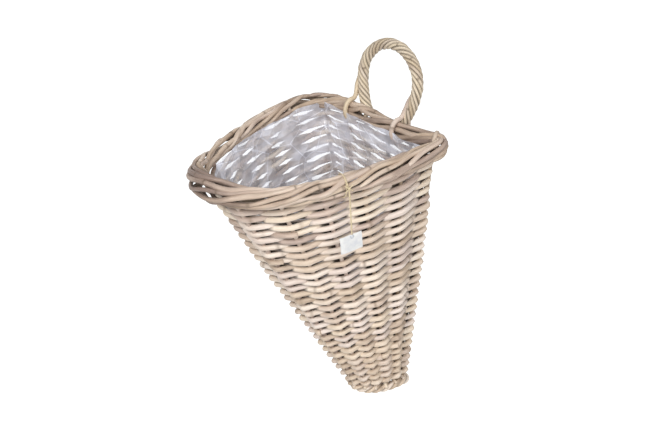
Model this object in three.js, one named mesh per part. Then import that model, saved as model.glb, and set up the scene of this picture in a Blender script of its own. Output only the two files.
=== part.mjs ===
// Half round rattan wall basket with a film liner, a twisted hanging ring and a tag on a thread.
// Millimetres, +Z up, the wall at the +Y side. The origin is the point of the ring that sits on the hook.
import * as THREE from 'three';

// Body
const bodyHeight = 438;
const mouthWidth = 265;
const mouthDepth = 309;
const baseWidth = 92;
const baseDepth = 82;
const mouthCorner = 24;
const baseCorner = 14;
const leastCorner = 3;
const clear = 0.35;
const stakeClear = 0.6;
const courseClear = 0.65;

// Stakes, from one back corner round the front to the other, then along the back
const frontGaps = 11;
const backGaps = 5;
const stakeCount = frontGaps + backGaps;
const stakeInset = 11.2;
const stakeTopRadius = 3.6;
const stakeFootRadius = 2.9;
const stakeSides = 5;
const stakeLevelShares = [0, 0.25, 0.5, 0.75, 1];

// Weavers: a pair of rods wound round and round, each spliced from lengths that end in the
// middle of the back. One rod of the pair passes outside the even stakes, the other outside
// the odd ones.
const courseCount = 30;
const lengthCount = 6;
const spliceStake = frontGaps + backGaps / 2;
const weaverTopWidth = 6.8;
const weaverFootWidth = 5.8;
const widestBendShare = 0.53;

// Border, four strands laid up like a rope
const borderRadius = 15;
const borderInset = 9;
const borderStrands = 4;
const borderStrandHalf = 4.6;
const borderLayRadius = 9.6;
const borderTurns = 5;
const borderSteps = 52;

// Base
const baseThickness = 7;
const baseEdgeInset = 2;
const baseChamfer = 3.5;
const baseSteps = 40;

// Hanging ring, six strands round a core, leaning back from the border
const ringHalfWidth = 54;
const ringRise = 47.8;
const ringLegLength = 38.4;
const ringLegDraw = 10;
const ringRadius = 8;
const ringFootOffset = 6;
const ringFootLift = 0.5;
const ringLeanShare = 0.247;
const ringStrands = 6;
const ringStrandRadius = 2.5;
const ringLayRadius = 5.45;
const ringTurnShare = 3.4;
const ringLegSteps = 6;
const ringArchSteps = 22;
const ringStrandSides = 5;

// Lashings that tie the ring to the border
const bandWidth = 5;
const bandThickness = 3.2;
const bandShift = 14;
const bandRadius = borderRadius + 2 * clear + bandThickness / 2;
const bandStartHeight = 22;

// Film liner
const filmThickness = 0.8;
const filmTopInset = 29;
const filmFootInset = 29;
const filmFrontSlack = 5;
const filmDrop = 15;
const filmFloor = 20;
const filmCorner = 4;
const filmStride = 3;

// Thread and tag
const tagShare = 0.225;
const threadRadius = 0.8;
const threadLength = 63;
const threadSides = 8;
const threadSteps = 20;
const loopSteps = 18;
const eyeletRadius = 3;
const eyeletHole = 1.4;
const eyeletThickness = 1.4;
const tagWidth = 32;
const tagHeight = 30;
const tagThickness = 0.8;

// Heights that follow
const bandRoom = bandThickness + 4 * clear;
const weaveTop = bodyHeight - 2 * borderRadius - bandRoom;
const weaverPitch = (weaveTop - baseThickness) / (2 * courseCount + 2);
const weaverHeight = weaverPitch - courseClear;
const borderHeight = bodyHeight - borderRadius;

// The ring's plane leans: up it is this direction
const leanUp = new THREE.Vector3(0, ringLeanShare, Math.sqrt(1 - ringLeanShare * ringLeanShare));
const leanOut = new THREE.Vector3(0, leanUp.z, -leanUp.y);
const ringFoot = new THREE.Vector3(0, ringFootOffset, bodyHeight + ringFootLift);
const ringTop = ringFoot.clone().addScaledVector(leanUp, ringLegLength + ringRise);
const hang = ringTop.clone().addScaledVector(leanUp, -ringRadius);

const mix = (a, b, t) => a + (b - a) * t;

// The outline at a height and an inset from the outer wall line, held back at the front by a
// slack, as a list of places with their outward normals and running lengths. It starts in the
// right back corner, goes round the front to the left one, then along the flat back.
const cornerCuts = 6;
const frontCuts = 96;
const outlines = new Map();
function outline(z, inset, corner = null, slack = 0) {
  const key = `${z} ${inset} ${corner} ${slack}`;
  if (outlines.has(key)) return outlines.get(key);
  const t = z / bodyHeight;
  const r = corner ?? Math.max(mix(baseCorner, mouthCorner, t) - inset, leastCorner);
  const a = mix(baseWidth, mouthWidth, t) / 2 - inset - r;
  const b = mix(baseDepth, mouthDepth, t) - 2 * inset - 2 * r - slack;
  const y0 = -inset - r;
  const front = [];
  const back = [];
  const put = (list, x, y, angle) => {
    const n = new THREE.Vector2(Math.cos(angle), Math.sin(angle));
    list.push({ p: new THREE.Vector2(x + n.x * r, y + n.y * r), n });
  };
  for (let i = 0; i <= cornerCuts; i++) put(front, a, y0, Math.PI / 4 * (1 - i / cornerCuts));
  for (let i = 1; i < frontCuts; i++) {
    const s = Math.PI * i / frontCuts;
    put(front, a * Math.cos(s), y0 - b * Math.sin(s), Math.atan2(-a * Math.sin(s), b * Math.cos(s)));
  }
  for (let i = 0; i <= cornerCuts; i++) put(front, -a, y0, -Math.PI - Math.PI / 4 * i / cornerCuts);
  for (let i = 0; i <= cornerCuts; i++) put(back, -a, y0, Math.PI * (3 / 4 - i / cornerCuts / 4));
  for (let i = 0; i <= cornerCuts; i++) put(back, a, y0, Math.PI * (1 / 2 - i / cornerCuts / 4));
  for (const list of [front, back]) {
    list[0].s = 0;
    for (let i = 1; i < list.length; i++) list[i].s = list[i - 1].s + list[i].p.distanceTo(list[i - 1].p);
  }
  const out = { front, back };
  outlines.set(key, out);
  return out;
}

// A place on one of the two runs at a share of its length
function along(list, share) {
  const want = share * list[list.length - 1].s;
  let i = 1;
  while (i < list.length - 1 && list[i].s < want) i++;
  const from = list[i - 1];
  const to = list[i];
  const t = Math.min(Math.max((want - from.s) / (to.s - from.s), 0), 1);
  const n = new THREE.Vector2(mix(from.n.x, to.n.x, t), mix(from.n.y, to.n.y, t)).normalize();
  return { p: new THREE.Vector2(mix(from.p.x, to.p.x, t), mix(from.p.y, to.p.y, t)), n };
}

// A place at stake number u, which may be a fraction
function atStake(o, u) {
  const v = ((u % stakeCount) + stakeCount) % stakeCount;
  return v <= frontGaps ? along(o.front, v / frontGaps) : along(o.back, (v - frontGaps) / backGaps);
}

// A place at a share of the whole way round
function around(o, share) {
  const lf = o.front[o.front.length - 1].s;
  const lb = o.back[o.back.length - 1].s;
  const s = (share - Math.floor(share)) * (lf + lb);
  return s <= lf ? along(o.front, s / lf) : along(o.back, (s - lf) / lb);
}

// Closed mesh from rings of points. Each ring runs anticlockwise seen from the way the
// rings advance. Open runs get flat ends.
function skin(rings, closed) {
  const n = rings[0].length;
  const pos = [];
  const index = [];
  for (const ring of rings) for (const p of ring) pos.push(p.x, p.y, p.z);
  const last = closed ? rings.length : rings.length - 1;
  for (let i = 0; i < last; i++) {
    const a = i * n;
    const b = (i + 1) % rings.length * n;
    for (let j = 0; j < n; j++) {
      const k = (j + 1) % n;
      index.push(a + j, a + k, b + k, a + j, b + k, b + j);
    }
  }
  if (!closed) {
    const b = (rings.length - 1) * n;
    for (let j = 1; j < n - 1; j++) {
      index.push(0, j + 1, j);
      index.push(b, b + j, b + j + 1);
    }
  }
  const g = new THREE.BufferGeometry();
  g.setAttribute('position', new THREE.Float32BufferAttribute(pos, 3));
  g.setIndex(index);
  return g;
}

// A ring of points about c in the plane of u and v, so that u x v is the way the run advances
function disc(c, u, v, ru, rv, sides, turn = 0) {
  const ring = [];
  for (let i = 0; i < sides; i++) {
    const s = turn + 2 * Math.PI * i / sides;
    ring.push(c.clone().addScaledVector(u, ru * Math.cos(s)).addScaledVector(v, rv * Math.sin(s)));
  }
  return ring;
}

const group = new THREE.Group();
function piece(name, geometry, color, roughness, metalness = 0) {
  const flat = geometry.index ? geometry.toNonIndexed() : geometry;
  flat.computeVertexNormals();
  const mesh = new THREE.Mesh(flat, new THREE.MeshStandardMaterial({ color, roughness, metalness }));
  mesh.name = name;
  mesh.position.copy(hang).negate();
  group.add(mesh);
  return mesh;
}
const rattan = 0xd8c6b0;
const rattanDark = 0xb5a088;
const rattanWarm = 0xd2bd9a;

const up = new THREE.Vector3(0, 0, 1);
const weaveLevel = (z) => (z - baseThickness) / (weaveTop - baseThickness);
const halfWidth = (z) => mix(weaverFootWidth, weaverTopWidth, weaveLevel(z)) / 2;
const stakeFoot = baseThickness + clear;

// The axis and radius of a stake at a height: straight from one of its levels to the next
const stakePlaces = [];
for (let k = 0; k < stakeCount; k++) {
  stakePlaces.push(stakeLevelShares.map((share) => {
    const z = mix(stakeFoot, weaveTop, share);
    const radius = mix(stakeFootRadius, stakeTopRadius, share);
    return { z, ...atStake(outline(z, stakeInset), k), radius };
  }));
}
function stakeAt(k, z) {
  const list = stakePlaces[k % stakeCount];
  let i = 1;
  while (i < list.length - 1 && list[i].z < z) i++;
  const t = (z - list[i - 1].z) / (list[i].z - list[i - 1].z);
  const from = list[i - 1];
  const to = list[i];
  const n = from.n.clone().lerp(to.n, t).normalize();
  return { p: from.p.clone().lerp(to.p, t), n, radius: mix(from.radius, to.radius, t) };
}

// From the middle of a rod to its top, along the lean of the wall there
function leanFrom(place, z) {
  const low = place(z - weaverHeight / 2).p;
  const high = place(z + weaverHeight / 2).p;
  return new THREE.Vector3((high.x - low.x) / 2, (high.y - low.y) / 2, weaverHeight / 2);
}

// Weavers
function weaver(side, from, to) {
  const drop = 2 * weaverPitch / stakeCount;
  const height = (u) => weaveTop - clear - weaverHeight / 2 - side * weaverPitch - (u - spliceStake) * drop;
  // Free places lie on the line of the stakes: both ends, and one at the nose of the front
  const stops = [];
  const free = (u) => {
    const z = height(u);
    const place = (h) => atStake(outline(h, stakeInset), u);
    stops.push({ z, n: place(z).n, place: place(z).p, lean: leanFrom(place, z) });
  };
  free(from);
  for (let k = Math.ceil(from); k < to; k++) {
    const z = height(k);
    const at = stakeAt(k, z);
    const sign = (k + side) % 2 === 0 ? 1 : -1;
    const keep = at.radius + stakeClear;
    const place = at.p.clone().addScaledVector(at.n, sign * (keep + halfWidth(z)));
    stops.push({ z, n: at.n, centre: at.p, sign, keep, place, lean: leanFrom((h) => stakeAt(k, h), z) });
    if (2 * (k % stakeCount) + 1 === frontGaps) free(k + 1 / 2);
  }
  free(to);
  for (let pass = 0; pass < 5; pass++) {
    const places = stops.map((stop, i) => {
      if (!stop.centre) return stop.place;
      const d0 = stop.place.clone().sub(stops[i - 1].place).normalize();
      const d1 = stops[i + 1].place.clone().sub(stop.place).normalize();
      stop.m0 = new THREE.Vector2(-d0.y, d0.x);
      stop.m1 = new THREE.Vector2(-d1.y, d1.x);
      if (stop.m0.dot(stop.n) * stop.sign < 0) stop.m0.negate();
      if (stop.m1.dot(stop.n) * stop.sign < 0) stop.m1.negate();
      stop.b = stop.m0.clone().add(stop.m1).normalize();
      stop.angle = Math.acos(Math.min(stop.b.dot(stop.m0), 1));
      stop.round = stop.m1.clone().sub(stop.m0).dot(d1) > 0;
      const w = halfWidth(stop.z);
      const cos = Math.cos(stop.angle);
      const reach = stop.round ? (stop.keep + w) / cos : stop.keep + w / cos;
      return stop.centre.clone().addScaledVector(stop.b, reach);
    });
    stops.forEach((stop, i) => { stop.place = places[i]; });
  }
  const rings = [];
  const cut = (p, out2, stop, w) => {
    const out = new THREE.Vector3(out2.x, out2.y, 0);
    const ring = [];
    for (const [i, j] of [[-1, -1], [1, -1], [1, 1], [-1, 1]]) {
      const corner = new THREE.Vector3(p.x, p.y, stop.z).addScaledVector(out, i * w);
      ring.push(corner.addScaledVector(stop.lean, j));
    }
    rings.push(ring);
  };
  for (const stop of stops) {
    const w = halfWidth(stop.z);
    if (!stop.centre) cut(stop.place, stop.n, stop, w);
    else if (stop.round && stop.angle > widestBendShare * Math.PI / 2) {
      for (const m of [stop.m0, stop.m1]) {
        const c = m.clone().add(stop.b).normalize();
        const bend = Math.acos(Math.min(c.dot(stop.b), 1));
        const place = stop.centre.clone().addScaledVector(c, (stop.keep + w) / Math.cos(bend));
        cut(place, c.clone().multiplyScalar(stop.sign), stop, w / Math.cos(bend));
      }
    } else cut(stop.place, stop.b.clone().multiplyScalar(stop.sign), stop, w / Math.cos(stop.angle));
  }
  return skin(rings, false);
}
for (let i = 0; i < lengthCount; i++) {
  for (const side of [0, 1]) {
    const run = stakeCount * courseCount / lengthCount;
    const from = spliceStake + i * run;
    const at = outline(weaveTop * (1 - i / lengthCount), stakeInset);
    const gap = clear * backGaps / at.back[at.back.length - 1].s;
    piece(`weaver_${side ? 'b' : 'a'}_${i + 1}`, weaver(side, from + gap, from + run - gap), rattan, 0.75);
  }
}

// Stakes
stakePlaces.forEach((list, k) => {
  const rings = list.map((at) => {
    const u = new THREE.Vector3(at.n.x, at.n.y, 0);
    const v = new THREE.Vector3().crossVectors(up, u);
    return disc(new THREE.Vector3(at.p.x, at.p.y, at.z), u, v, at.radius, at.radius, stakeSides);
  });
  piece(`stake_${String(k + 1).padStart(2, '0')}`, skin(rings, false), rattanDark, 0.8);
});

// Border
const rim = outline(bodyHeight, borderInset);
for (let strand = 0; strand < borderStrands; strand++) {
  const rings = [];
  for (let i = 0; i < borderSteps; i++) {
    const at = around(rim, i / borderSteps);
    const out = new THREE.Vector3(at.n.x, at.n.y, 0);
    const s = 2 * Math.PI * (strand / borderStrands - borderTurns * i / borderSteps);
    const u = out.clone().multiplyScalar(Math.cos(s)).addScaledVector(up, Math.sin(s));
    const v = up.clone().multiplyScalar(Math.cos(s)).addScaledVector(out, -Math.sin(s));
    const c = new THREE.Vector3(at.p.x, at.p.y, borderHeight).addScaledVector(u, borderLayRadius);
    const h = borderStrandHalf * Math.SQRT2;
    rings.push(disc(c, u, v, h, h, 4, Math.PI / 4));
  }
  const turned = rings.reverse().map((r) => r.slice().reverse());
  piece(`border_strand_${strand + 1}`, skin(turned, true), rattanDark, 0.78);
}

// Base
function plate(z, inset) {
  const o = outline(0, inset);
  const ring = [];
  for (let i = 0; i < baseSteps; i++) {
    const at = around(o, -i / baseSteps);
    ring.push(new THREE.Vector3(at.p.x, at.p.y, z));
  }
  return ring;
}
const baseRings = [
  plate(0, baseEdgeInset + baseChamfer),
  plate(baseChamfer, baseEdgeInset),
  plate(baseThickness - clear, baseEdgeInset),
];
piece('base', skin(baseRings, false), rattanDark, 0.8);

// Hanging ring
const ringPath = [];
for (let i = 0; i <= ringLegSteps; i++) {
  const t = i / ringLegSteps;
  ringPath.push([ringHalfWidth - ringLegDraw * (1 - t) * (1 - t), ringLegLength * t]);
}
for (let i = 1; i < ringArchSteps; i++) {
  const s = Math.PI * i / ringArchSteps;
  ringPath.push([ringHalfWidth * Math.cos(s), ringLegLength + ringRise * Math.sin(s)]);
}
for (let i = ringLegSteps; i >= 0; i--) {
  ringPath.push([-ringPath[i][0], ringPath[i][1]]);
}
const ringPlace = ([x, s]) => ringFoot.clone().addScaledVector(leanUp, s).setX(x);
const ringPoints = ringPath.map(ringPlace);
const ringFrames = ringPoints.map((c, i) => {
  const from = ringPoints[Math.max(i - 1, 0)];
  const to = ringPoints[Math.min(i + 1, ringPoints.length - 1)];
  const t = to.clone().sub(from).normalize();
  return { c, t, u: leanOut, v: new THREE.Vector3().crossVectors(t, leanOut).normalize() };
});
let ringRun = 0;
const ringRuns = ringPoints.map((c, i) => (i ? ringRun += c.distanceTo(ringPoints[i - 1]) : 0));
const coreRadius = ringLayRadius - ringStrandRadius - 1.5 * clear;
const coreRings = ringFrames.map((f) => disc(f.c, f.u, f.v, coreRadius, coreRadius, 4));
piece('ring_core', skin(coreRings, false), rattanDark, 0.8);
for (let strand = 0; strand < ringStrands; strand++) {
  const rings = ringFrames.map((f, i) => {
    const s = 2 * Math.PI * (strand / ringStrands - ringTurnShare * ringRuns[i] / ringRun);
    const u = f.u.clone().multiplyScalar(Math.cos(s)).addScaledVector(f.v, Math.sin(s));
    const v = f.v.clone().multiplyScalar(Math.cos(s)).addScaledVector(f.u, -Math.sin(s));
    const c = f.c.clone().addScaledVector(u, ringLayRadius);
    return disc(c, u, v, ringStrandRadius, ringStrandRadius, ringStrandSides);
  });
  piece(`ring_strand_${strand + 1}`, skin(rings, false), rattanWarm, 0.72);
}

// Lashings: from the side of a leg over the border, under it, up the back and behind the leg
const legX = (height) => {
  const t = Math.min(height / ringLegLength, 1);
  return ringHalfWidth - ringLegDraw * (1 - t) * (1 - t);
};
const besideLeg = ringRadius + 1.5 * clear + bandThickness / 2;
function lashing(side) {
  const foot = side * legX(0);
  const x = foot - bandShift;
  const path = [];
  const put = (px, py, pz, nx, ny, nz) => {
    path.push({ c: new THREE.Vector3(px, py, pz), n: new THREE.Vector3(nx, ny, nz).normalize() });
  };
  const leg = ringFoot.clone().addScaledVector(leanUp, bandStartHeight);
  put(side * legX(bandStartHeight) - besideLeg, leg.y, leg.z, -1, 0, 0);
  for (let i = 0; i <= 11; i++) {
    const s = Math.PI * (80 + 25 * i) / 180;
    const y = bandRadius * Math.cos(s) - borderInset;
    put(x, y, borderHeight + bandRadius * Math.sin(s), 0, Math.cos(s), Math.sin(s));
  }
  const behindLeg = ringFoot.clone().addScaledVector(leanOut, besideLeg + clear);
  const behind = (height) => behindLeg.clone().addScaledVector(leanUp, height);
  const low = behind(bandWidth);
  const high = behind(bandWidth + clear);
  put(foot - ringRadius, low.y, low.z, leanOut.x, leanOut.y, leanOut.z);
  put(foot + ringRadius, high.y, high.z, leanOut.x, leanOut.y, leanOut.z);
  const rings = path.map((p, i) => {
    const t = path[Math.min(i + 1, path.length - 1)].c.clone().sub(path[Math.max(i - 1, 0)].c).normalize();
    const v = new THREE.Vector3().crossVectors(t, p.n).normalize();
    const u = new THREE.Vector3().crossVectors(v, t).normalize();
    const hu = bandThickness / 2;
    const hv = bandWidth / 2;
    const ring = [];
    for (const [a, b] of [[-1, -1], [1, -1], [1, 1], [-1, 1]]) {
      ring.push(p.c.clone().addScaledVector(u, a * hu).addScaledVector(v, b * hv));
    }
    return ring;
  });
  return skin(rings, false);
}
piece('lashing_left', lashing(-1), rattanDark, 0.78);
piece('lashing_right', lashing(1), rattanDark, 0.78);

// Film liner, an open bag. Its rings take the same corner and front places at every height
// and inset, so that the two faces of the film run side by side.
function bagRing(z, inset) {
  const o = outline(z, inset, filmCorner, filmFrontSlack);
  const front = o.front.filter((at, i) => i % filmStride === 0);
  const back = o.back.filter((at, i) => i % (cornerCuts + 1) % filmStride === 0).slice(1, -1);
  return [...front, ...back].reverse().map((at) => new THREE.Vector3(at.p.x, at.p.y, z));
}
const filmTop = bodyHeight - filmDrop;
const bag = [
  bagRing(filmFloor, filmFootInset),
  bagRing(filmTop, filmTopInset),
  bagRing(filmTop, filmTopInset + filmThickness),
  bagRing(filmFloor + filmThickness, filmFootInset + filmThickness),
];
piece('film_liner', skin(bag, false), 0xe6e6ec, 0.15);

// Thread with its loop round the border
const tagAt = along(rim.front, tagShare);
const tagOut = new THREE.Vector3(tagAt.n.x, tagAt.n.y, 0);
const tagSide = new THREE.Vector3().crossVectors(up, tagOut);
const rimCentre = new THREE.Vector3(tagAt.p.x, tagAt.p.y, borderHeight);
const loopRadius = borderRadius + 2 * clear + threadRadius;
const loopRings = [];
for (let i = 0; i < loopSteps; i++) {
  const s = 2 * Math.PI * i / loopSteps;
  const u = tagOut.clone().multiplyScalar(Math.cos(s)).addScaledVector(up, Math.sin(s));
  const c = rimCentre.clone().addScaledVector(u, loopRadius);
  loopRings.push(disc(c, u, tagSide, threadRadius, threadRadius, 5));
}
piece('thread_loop', skin(loopRings, true), 0xe9e4d8, 0.85);
const threadTop = rimCentre.clone().addScaledVector(tagOut, loopRadius + 2 * threadRadius + clear);
const threadRings = [];
for (let i = 0; i <= threadSteps; i++) {
  const c = threadTop.clone().addScaledVector(up, -threadLength * i / threadSteps);
  threadRings.push(disc(c, tagSide, tagOut, threadRadius, threadRadius, threadSides));
}
piece('thread', skin(threadRings, false), 0xe9e4d8, 0.85);

// Tag with its eyelet
const eyeletPlace = threadTop.clone().addScaledVector(up, -threadLength - clear - eyeletRadius);
const eyeletShape = new THREE.Shape().absarc(0, 0, eyeletRadius, 0, 2 * Math.PI);
eyeletShape.holes.push(new THREE.Path().absarc(0, 0, eyeletHole, 0, 2 * Math.PI, true));
const eyeletCut = { depth: eyeletThickness, bevelEnabled: false, curveSegments: 12 };
const eyelet = new THREE.ExtrudeGeometry(eyeletShape, eyeletCut);
eyelet.translate(0, 0, -eyeletThickness / 2);
const faceFrame = new THREE.Matrix4().makeBasis(tagSide, up, tagOut);
eyelet.applyMatrix4(faceFrame);
eyelet.translate(eyeletPlace.x, eyeletPlace.y, eyeletPlace.z);
piece('tag_eyelet', eyelet, 0xb9b9b4, 0.4, 0.6);
const tag = new THREE.BoxGeometry(tagWidth, tagHeight, tagThickness);
tag.applyMatrix4(faceFrame);
const tagPlace = eyeletPlace.clone().addScaledVector(up, -eyeletRadius - clear - tagHeight / 2);
tag.translate(tagPlace.x, tagPlace.y, tagPlace.z);
piece('tag', tag, 0xeeeeea, 0.5);

export default group;
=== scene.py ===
# %% [markdown]
# # A half round wall basket in rattan
# The basket hangs flat against a wall by its twisted ring. Sixteen stakes stand in a small
# half round foot and spread to a wide mouth. Two rods at a time are wound round them, a
# rope of rods closes the mouth, a bag of clear film lines the inside, and a small bare tag
# hangs from the border on a thin twine. The sizes below are in millimetres, measured from
# the wall, the middle of the back and the foot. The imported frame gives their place.

# %% Load the frame
import math

import bpy
import numpy as np
from mathutils import Matrix, Vector


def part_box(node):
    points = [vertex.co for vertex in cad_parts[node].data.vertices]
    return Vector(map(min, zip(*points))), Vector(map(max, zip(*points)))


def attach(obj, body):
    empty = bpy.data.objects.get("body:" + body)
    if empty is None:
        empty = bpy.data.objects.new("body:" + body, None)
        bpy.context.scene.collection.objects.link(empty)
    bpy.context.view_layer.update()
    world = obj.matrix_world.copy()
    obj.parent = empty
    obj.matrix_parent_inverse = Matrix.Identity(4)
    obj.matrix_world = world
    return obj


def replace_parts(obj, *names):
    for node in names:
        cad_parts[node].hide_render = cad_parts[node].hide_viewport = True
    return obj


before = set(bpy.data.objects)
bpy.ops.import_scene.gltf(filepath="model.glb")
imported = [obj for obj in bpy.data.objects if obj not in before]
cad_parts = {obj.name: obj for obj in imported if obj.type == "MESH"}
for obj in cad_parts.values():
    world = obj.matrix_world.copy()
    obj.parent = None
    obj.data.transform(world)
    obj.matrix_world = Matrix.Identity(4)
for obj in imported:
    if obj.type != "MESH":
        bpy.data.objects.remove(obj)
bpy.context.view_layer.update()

MM = 0.001
BODY_HEIGHT = 438
MOUTH_WIDTH = 265
MOUTH_DEPTH = 309
BASE_WIDTH = 92
BASE_DEPTH = 82
BASE_EDGE_INSET = 2

base_low, base_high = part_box("base")
ORIGIN = np.array([0, base_high.y + BASE_EDGE_INSET * MM, base_low.z])


def row(points):
    """Points in the basket's millimetres, as metres in the frame."""
    return np.asarray(points, float) * MM + ORIGIN


def basket(point):
    """A point of the frame, in the basket's millimetres."""
    return (np.array(point, float) - ORIGIN) / MM


print("foot of the wall line in the frame:", ORIGIN.round(4))

# %% [markdown]
# ## The camera
# It looks down into the mouth from the front right, a little rolled. The angles were found
# by laying the basket's outline over the photograph. The shift places the picture's frame.

# %% Set up the camera
PHOTO_WIDTH = 670
SENSOR_WIDTH = 36
AZIMUTH, ELEVATION, ROLL = (math.radians(angle) for angle in (53.28, 32.47, 4.38))
CAMERA_DISTANCE = 1960
FOCAL_PIXELS = 1400.9
SHIFT_PIXELS = (28.46, 74.0)
AIM_FROM_WALL = 152.5
AIM_HEIGHT = 219.9

backward = Vector((
    math.sin(AZIMUTH) * math.cos(ELEVATION),
    -math.cos(AZIMUTH) * math.cos(ELEVATION),
    math.sin(ELEVATION),
))
level = Vector((math.cos(AZIMUTH), math.sin(AZIMUTH), 0))
upward = backward.cross(level)
right = level * math.cos(ROLL) - upward * math.sin(ROLL)
above = level * math.sin(ROLL) + upward * math.cos(ROLL)
aim = Vector(row((0, -AIM_FROM_WALL, AIM_HEIGHT)))
place = aim + backward * CAMERA_DISTANCE * MM

camera = bpy.data.objects.new("camera", bpy.data.cameras.new("camera"))
bpy.context.collection.objects.link(camera)
camera.matrix_world = Matrix((
    (right.x, above.x, backward.x, place.x),
    (right.y, above.y, backward.y, place.y),
    (right.z, above.z, backward.z, place.z),
    (0, 0, 0, 1),
))
camera.data.sensor_width = SENSOR_WIDTH
camera.data.lens = FOCAL_PIXELS / PHOTO_WIDTH * SENSOR_WIDTH
camera.data.shift_x = SHIFT_PIXELS[0] / PHOTO_WIDTH
camera.data.shift_y = SHIFT_PIXELS[1] / PHOTO_WIDTH
bpy.context.scene.camera = camera
print("camera at", [round(x, 3) for x in place], "lens", round(camera.data.lens, 1))

# %% [markdown]
# ## Colours and nodes
# A material is a small tree of nodes. One function adds a node with its settings and its
# links, so that a tree reads from top to bottom. Colours are written as they look on a
# screen and turned to the linear values that the renderer needs.

# %% Helpers for materials
def colour(code):
    """A linear colour from its sRGB hex code."""
    parts = [int(code[i:i + 2], 16) / 255 for i in (1, 3, 5)]
    return [c / 12.92 if c <= 0.04045 else ((c + 0.055) / 1.055) ** 2.4 for c in parts] + [1]


def add(tree, kind, links=None, inputs=None, **settings):
    """Adds a node. links and inputs are keyed by the socket's name or number."""
    node = tree.nodes.new("ShaderNode" + kind)
    for key, value in settings.items():
        setattr(node, key, value)
    for key, value in (inputs or {}).items():
        node.inputs[key].default_value = value
    for key, socket in (links or {}).items():
        tree.links.new(socket, node.inputs[key])
    return node


def new_material(name):
    material = bpy.data.materials.new(name)
    material.use_nodes = True
    material.node_tree.nodes.clear()
    return material, material.node_tree


def ramp(tree, factor, stops):
    """A colour ramp from (place, hex code) pairs."""
    node = add(tree, "ValToRGB", {0: factor})
    elements = node.color_ramp.elements
    while len(elements) < len(stops):
        elements.new(0.5)
    for element, (at, code) in zip(elements, stops):
        element.position = at
        element.color = colour(code)
    return node.outputs[0]


# %% [markdown]
# ## Rattan
# The rods are bare whole rattan that has greyed. The skin is satin, with fine fibres along
# the rod, cloudy paler and darker patches, and a dark ring at each node. No two rods have
# the same cast, from beige to a pinkish grey. A picture of the skin could be wrapped round
# each rod, but it would have to be stretched or would repeat. So noise makes it instead. The
# pattern is drawn in the space of the straightened rod, which the mesh carries as an
# attribute: x runs along the rod, y and z lie across it. The real fibres are about 0.3 mm
# wide. They are drawn 1.1 mm wide, so that they show in the picture.

# %% Draw the skin of a rod
FIBRE_WIDTH = 1.1
FIBRE_LENGTH = 26
CLOUD_WIDTH = 7
CLOUD_LENGTH = 34
CLOUD_SHARE = 1.15
FIBRE_SHARE = 0.42
TONE_SHARE = 0.62
CLOUD_SHIFT = -0.33
TONE_SHIFT = -0.2
KNOT_DARKNESS = 0.75
# The near black of the painted shade where a rod lies behind others.
PAINTED_SHADE_COLOUR = "#24170c"


def rattan(name, pale, middle, dark, node_ring, roughness, painted_shade_strength):
    material, tree = new_material(name)
    rod = add(tree, "Attribute", attribute_name="rod").outputs["Vector"]
    cast = add(tree, "Attribute", attribute_name="cast").outputs["Vector"]
    split = add(tree, "SeparateXYZ", {0: cast})
    tone, hue, knot = split.outputs
    fibre_scale = (1 / FIBRE_LENGTH, 1 / FIBRE_WIDTH, 1 / FIBRE_WIDTH)
    fibre_space = add(tree, "VectorMath", {0: rod}, {1: fibre_scale}, operation="MULTIPLY")
    fibre = add(tree, "TexNoise", {"Vector": fibre_space.outputs[0]},
                {"Scale": 1, "Detail": 3, "Roughness": 0.6}).outputs["Fac"]
    cloud_scale = (1 / CLOUD_LENGTH, 1 / CLOUD_WIDTH, 1 / CLOUD_WIDTH)
    cloud_space = add(tree, "VectorMath", {0: rod}, {1: cloud_scale}, operation="MULTIPLY")
    cloud = add(tree, "TexNoise", {"Vector": cloud_space.outputs[0]},
                {"Scale": 1, "Detail": 4, "Roughness": 0.55}).outputs["Fac"]
    # The shade of a spot adds up its cloud, its fibre and the whole rod's own tone.
    shade = add(tree, "Math", {0: cloud}, {1: CLOUD_SHARE, 2: CLOUD_SHIFT},
                operation="MULTIPLY_ADD")
    for part, share in ((fibre, FIBRE_SHARE), (tone, TONE_SHARE)):
        shade = add(tree, "Math", {0: part, 2: shade.outputs[0]}, {1: share},
                    operation="MULTIPLY_ADD")
    mixed = add(tree, "Math", {0: shade.outputs[0]}, {1: TONE_SHIFT}, operation="ADD").outputs[0]
    skin = ramp(tree, mixed, ((0.0, dark), (0.45, middle), (0.95, pale)))
    pinkish = ramp(tree, mixed, ((0.0, "#948079"), (0.45, "#c6b2a6"), (0.95, "#e4d6cd")))
    skin = add(tree, "Mix", {0: hue, 6: skin, 7: pinkish}, data_type="RGBA").outputs[2]
    painted_shade = add(tree, "Attribute", attribute_name="painted_shade").outputs["Fac"]
    # Both darker colours lie over the skin: the ring at a node, and the painted shade where a rod
    # lies behind others.
    for cover, amount, over in ((knot, KNOT_DARKNESS, node_ring), (painted_shade, painted_shade_strength, PAINTED_SHADE_COLOUR)):
        covered = add(tree, "Math", {0: cover}, {1: amount}, operation="MULTIPLY").outputs[0]
        skin = add(tree, "Mix", {0: covered, 6: skin}, {7: colour(over)},
                   data_type="RGBA").outputs[2]
    height = add(tree, "Math", {0: fibre, 2: cloud}, {1: 0.6}, operation="MULTIPLY_ADD").outputs[0]
    bump = add(tree, "Bump", {"Height": height}, {"Strength": 0.5, "Distance": 0.35 * MM})
    gloss = add(tree, "Math", {0: cloud}, {1: -0.25, 2: roughness + 0.12},
                operation="MULTIPLY_ADD").outputs[0]
    shader = add(tree, "BsdfPrincipled", {"Base Color": skin, "Roughness": gloss,
                 "Normal": bump.outputs[0]}, {"IOR": 1.48, "Specular IOR Level": 0.45})
    add(tree, "OutputMaterial", {0: shader.outputs[0]})
    return material


print("fibres", FIBRE_WIDTH, "mm wide, clouds", CLOUD_WIDTH, "mm wide")
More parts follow.
